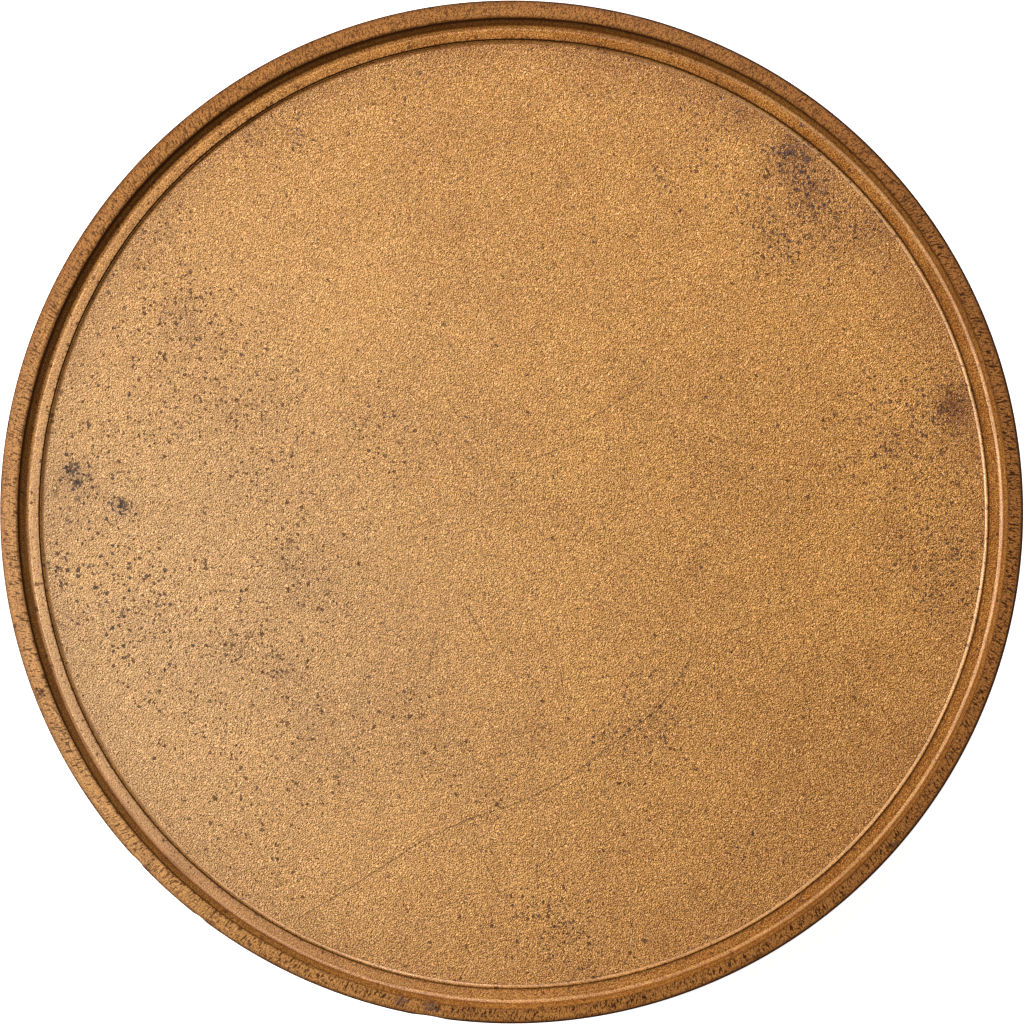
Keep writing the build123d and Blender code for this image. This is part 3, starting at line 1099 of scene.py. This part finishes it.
def clean_bronze(wire, finish, grains, drawn, strokes, rings):
    """Return the colour of the bronze and of the rim's patina, without specks and dirt."""
    rim = wire.attribute("rim")
    struck = wire.attribute("struck")
    tone = wire.linear(wire.plus(grains.grain, wire.times(grains.coarse, 0.25)), 0.44, 0.69, 0.0, 1.0)
    drawn_tone = wire.linear(wire.plus(drawn, wire.times(grains.grain, 0.4)), 0.49, 0.76, 0.0, 1.0)
    values = {0: struck, 2: tone, 3: drawn_tone}
    tone = wire.node("ShaderNodeMix", values, 0, data_type="FLOAT")
    shade = wire.plus(wire.attribute("shade"), wire.linear(grains.patch, 0.3, 0.7, -0.06, 0.06))
    shaded = wire.maths("SUBTRACT", tone, shade)
    base = wire.mix(shaded, finish.hollow, finish.bronze)
    ruddy = wire.smooth(grains.small_patch, 0.30, 0.70, 0.0, 0.30)
    base = wire.mix(ruddy, base, RUDDY, "MULTIPLY")
    # Painted sheen: the colour moves towards the paler sheen colour
    base = wire.mix(wire.attribute("haze"), base, finish.painted_sheen_tint)
    brown = wire.mix(tone, finish.rim_hollow, finish.rim_brown)
    base = wire.mix(rim, base, brown)
    rays = wire.times(wire.smooth(strokes, 0.54, 0.64), wire.attribute("chatter"))
    base = wire.mix(wire.times(rays, 0.8), base, finish.grime)
    streak = wire.times(struck, wire.smooth(rings, 0.45, 0.70, 0.0, 0.35))
    return wire.mix(streak, base, finish.stain)


def speckled(wire, finish, grains, base):
    """Return the colour with its brown and blue-black specks, and the mask of the latter."""
    ragged = wire.linear(grains.coarse, 0.2, 0.8, -0.20, 0.20)
    density = wire.attribute("brown")
    fine = specks(wire, grains.place, BROWN_SPACING, density, 0.44, ragged)
    base = wire.mix(wire.times(fine, 0.8), base, finish.stain)
    dense = wire.times(wire.plus(density, wire.times(wire.attribute("haze"), 0.30)), 0.8)
    pepper = specks(wire, grains.askew, PEPPER_SPACING, dense, 0.46, ragged)
    pepper = wire.times(pepper, wire.maths("SUBTRACT", 1.0, wire.attribute("rim")))
    base = wire.mix(wire.times(pepper, 0.65), base, finish.stain)
    density = wire.attribute("tarnish")
    bluish = specks(wire, grains.place, TARNISH_SPACING, density, 0.44, ragged)
    return wire.mix(wire.times(bluish, 0.85), base, finish.tarnish), bluish


def marked(wire, finish, grains, base):
    """Return the colour with the charted marks, and the masks of the spots and the scratches."""
    wobble = wire.linear(grains.coarse, 0.2, 0.8, -1.0, 1.0)
    spots = []
    for name in SPOT_LAYERS:
        cover, blue = charted(wire, name, 0.8, wobble)
        ink = wire.mix(blue, finish.stain, finish.tarnish)
        base = wire.mix(cover, base, ink)
        spots.append(cover)
    cuts = [charted(wire, name, 0.5, wobble)[0] for name in SCRATCH_LAYERS]
    cut = wire.most(*cuts)
    return wire.mix(cut, base, finish.grime), wire.most(*spots), cut


def relief(wire, finish, grains, rings, cut):
    """Return the bumps of the pits, the fine rings and the scratches, worked out in millimetres."""
    struck = wire.attribute("struck")
    height = wire.times(grains.pits, wire.linear(struck, 0.0, 1.0, 1.0, 0.06))
    height = wire.times(height, finish.pit_depth / MM)
    ringed = wire.times(rings, wire.maths("SUBTRACT", struck, wire.attribute("rim")))
    height = wire.plus(height, wire.times(ringed, 0.010))
    height = wire.maths("SUBTRACT", height, wire.times(cut, 0.02))
    return wire.node("ShaderNodeBump", {"Distance": MM, "Height": height})


def worn_bronze(finish, size):
    """Return the material of the whole medal."""
    wire = Wiring("worn_bronze")
    grains = blasted_grains(wire, finish)
    drawn, strokes, rings = drawn_grains(wire, grains.place, size)
    base = clean_bronze(wire, finish, grains, drawn, strokes, rings)
    base, bluish = speckled(wire, finish, grains, base)
    base, spots, cut = marked(wire, finish, grains, base)
    normal = relief(wire, finish, grains, rings, cut)

    # Old dirt, together with the painted shade of the wall and the shoulder, darkens the colour towards
    # the dark dirt colour
    least = wire.linear(grains.coarse, 0.3, 0.7, 0.0, 0.2)
    dirt = wire.linear(wire.attribute("grime"), least, 1.0, 0.0, 1.0)
    base = wire.mix(dirt, base, finish.grime)

    struck = wire.attribute("struck")
    matte = wire.attribute("matte")
    dull = wire.most(dirt, bluish, spots)
    roughness = wire.linear(struck, 0.0, 1.0, 0.50, 0.34)
    roughness = wire.plus(roughness, wire.times(matte, 0.20))
    roughness = wire.most(roughness, wire.times(dull, 0.7))
    roughness = wire.plus(roughness, wire.linear(grains.patch, 0.3, 0.7, -0.03, 0.03))
    metal = wire.linear(struck, 0.0, 1.0, 0.35, 0.15)
    shine = wire.linear(matte, 0.0, 1.0, 1.0, 0.0)
    surface = {
        "Base Color": base,
        "Metallic": wire.times(metal, wire.linear(dull, 0.0, 1.0, 1.0, 0.3)),
        "Roughness": roughness,
        "Specular IOR Level": 0.05,
        "Normal": normal,
        "Coat Weight": wire.times(shine, wire.linear(dull, 0.0, 1.0, 1.0, 0.1)),
        "Coat Roughness": 0.35,
        "Coat Normal": normal,
    }
    shader = wire.node("ShaderNodeBsdfPrincipled", surface)
    wire.node("ShaderNodeOutputMaterial", {"Surface": shader})
    return wire.material


# The stage


def pale_floor(stage):
    """Return the plain material of the floor."""
    wire = Wiring("pale_floor")
    surface = {
        "Base Color": (0.86, 0.86, 0.86),
        "Roughness": 0.8,
        "Emission Color": (1.0, 1.0, 1.0),
        "Emission Strength": stage.floor_glow,
    }
    shader = wire.node("ShaderNodeBsdfPrincipled", surface)
    wire.node("ShaderNodeOutputMaterial", {"Surface": shader})
    return wire.material


# Width of the camera's sensor, in millimetres, and how near to the camera things still show
SENSOR = 36.0
NEAREST_SEEN = 10 * MM


def add_camera(stage, size):
    """Add a camera that looks straight down, with the medal where the photograph has it."""
    camera = bpy.data.cameras.new("camera")
    camera.sensor_width = SENSOR
    camera.lens = SENSOR * stage.camera_height / (PHOTO_SIDE * PIXEL)
    camera.clip_start = NEAREST_SEEN
    holder = bpy.data.objects.new("camera", camera)
    middle = (PHOTO_SIDE - 1) / 2
    aside = (middle - MEDAL_RIGHT) * PIXEL
    above = (MEDAL_DOWN - middle) * PIXEL
    widest = size.thickness - size.rim_fall - size.shoulder
    holder.location = (aside, above, widest + stage.camera_height)
    bpy.context.collection.objects.link(holder)
    bpy.context.scene.camera = holder


def add_light(stage, name, turn, power):
    """Add a soft square light on one side, aimed at the medal."""
    light = bpy.data.lights.new(name, "AREA")
    light.size = stage.light_size
    light.energy = power
    holder = bpy.data.objects.new(name, light)
    level = stage.light_distance * math.cos(stage.light_rise)
    height = stage.light_distance * math.sin(stage.light_rise)
    holder.location = (level * math.cos(turn), level * math.sin(turn), height)
    holder.rotation_euler = (-holder.location).to_track_quat("-Z", "Y").to_euler()
    holder.visible_camera = False
    bpy.context.collection.objects.link(holder)


# How far the floor lies under the reverse rim, so that the two planes never flicker
FLOOR_GAP = 0.02 * MM


def add_floor(stage):
    """Add the floor that the medal lies on."""
    side = stage.floor_side / 2
    mesh = bpy.data.meshes.new("floor")
    mesh.from_pydata(
        [(-side, -side, 0), (side, -side, 0), (side, side, 0), (-side, side, 0)],
        [],
        [(0, 1, 2, 3)],
    )
    mesh.materials.append(pale_floor(stage))
    floor = bpy.data.objects.new("floor", mesh)
    floor.location.z = -FLOOR_GAP
    bpy.context.collection.objects.link(floor)


# The least angle between two faces whose edge looks sharp
SHARP_ANGLE = math.radians(40.0)


class MEDAL_OT_build_medal(bpy.types.Operator):
    """Build the medal's worn body in place of the plain solid"""

    bl_idname = "medal.build_medal"
    bl_label = "Build Medal"

    def execute(self, context):
        size = context.scene.medal_sizes
        rings = reverse_rings(size) + edge_rings(size) + obverse_rings(size)
        mesh, owner = medal_mesh(rings, size)
        vertex_looks(mesh, rings, owner)
        for name, marks in sort_marks(spot_marks(), SPOT_LAYERS):
            mark_layer(mesh, name, marks)
        for name, marks in sort_marks(scratch_marks(), SCRATCH_LAYERS):
            mark_layer(mesh, name, marks)
        bake_layout(mesh, rings, owner, size)
        mesh.shade_smooth()
        mesh.set_sharp_from_angle(angle=SHARP_ANGLE)
        mesh.materials.append(worn_bronze(context.scene.medal_finish, size))
        body = bpy.data.objects.new("medal_body", mesh)
        context.collection.objects.link(body)
        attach(body, "root")
        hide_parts("medal")
        return {"FINISHED"}


class MEDAL_OT_build_stage(bpy.types.Operator):
    """Set up the floor, the light and the camera"""

    bl_idname = "medal.build_stage"
    bl_label = "Build Stage"

    def execute(self, context):
        stage = context.scene.medal_stage
        world = bpy.data.worlds.new("studio")
        world.use_nodes = True
        sky = world.node_tree.nodes["Background"]
        sky.inputs["Color"].default_value = (1.0, 1.0, 1.0, 1.0)
        sky.inputs["Strength"].default_value = stage.fill
        context.scene.world = world
        context.scene.view_settings.view_transform = "Standard"
        add_floor(stage)
        add_light(stage, "left_light", stage.left_turn, stage.left_power)
        add_light(stage, "upper_light", stage.upper_turn, stage.upper_power)
        add_camera(stage, context.scene.medal_sizes)
        return {"FINISHED"}


class MEDAL_PT_panel(bpy.types.Panel):
    """Lists the medal's settings and the steps that build it"""

    bl_label = "Commemorative Medal"
    bl_idname = "MEDAL_PT_panel"
    bl_space_type = "VIEW_3D"
    bl_region_type = "UI"
    bl_category = "Medal"

    def draw(self, context):
        layout = self.layout
        for group in (
            context.scene.medal_sizes,
            context.scene.medal_finish,
            context.scene.medal_stage,
        ):
            column = layout.column(align=True)
            for name in group.__annotations__:
                column.prop(group, name)
        layout.operator(MEDAL_OT_build_medal.bl_idname)
        layout.operator(MEDAL_OT_build_stage.bl_idname)


CLASSES = (
    MedalSizes,
    MedalFinish,
    StageSettings,
    MEDAL_OT_build_medal,
    MEDAL_OT_build_stage,
    MEDAL_PT_panel,
)


def register():
    """Add the classes and the scene's settings to Blender."""
    for item in CLASSES:
        bpy.utils.register_class(item)
    bpy.types.Scene.medal_sizes = PointerProperty(type=MedalSizes)
    bpy.types.Scene.medal_finish = PointerProperty(type=MedalFinish)
    bpy.types.Scene.medal_stage = PointerProperty(type=StageSettings)


def unregister():
    """Take the classes and the scene's settings out of Blender again."""
    del bpy.types.Scene.medal_stage
    del bpy.types.Scene.medal_finish
    del bpy.types.Scene.medal_sizes
    for item in reversed(CLASSES):
        bpy.utils.unregister_class(item)


def main():
    """Build everything."""
    register()
    bpy.ops.medal.build_medal()
    bpy.ops.medal.build_stage()


if __name__ == "__main__":
    main()
